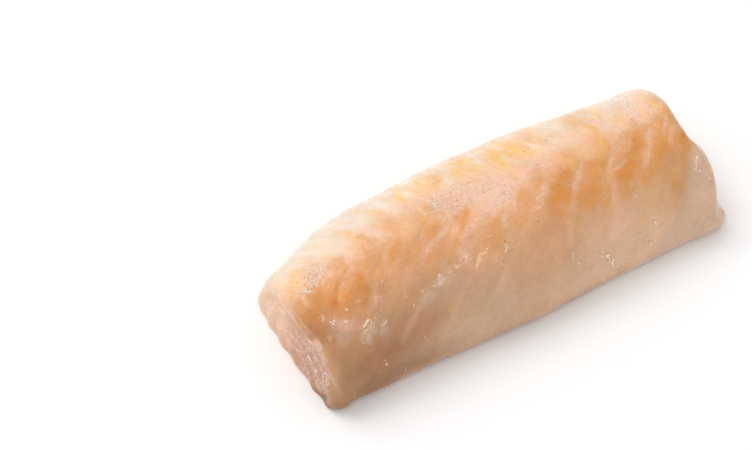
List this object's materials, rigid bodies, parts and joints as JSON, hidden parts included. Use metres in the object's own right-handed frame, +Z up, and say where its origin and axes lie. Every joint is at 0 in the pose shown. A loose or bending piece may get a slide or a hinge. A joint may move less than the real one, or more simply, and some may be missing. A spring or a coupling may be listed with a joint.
{
  "type": "saithe loin",
  "caption": "Raw skinless saithe loin: a domed strip of flaky white fish cut square at both ends, lying on its flat inner side.",
  "frame": {"origin": "under the middle of the loin, on the surface it lies on", "axes": "+X along the loin towards the end that the flakes point to, +Y towards the thinner side, +Z up through the domed outer side"},
  "size_m": [0.1342, 0.0554, 0.0286],
  "materials": {
    "flesh": "wet, slightly translucent raw fish flesh, cream on top, orange-tan along the flakes and pinkish at the cuts"
  },
  "bodies": {
    "root": {"loin": "flesh"}
  },
  "joints": []
}
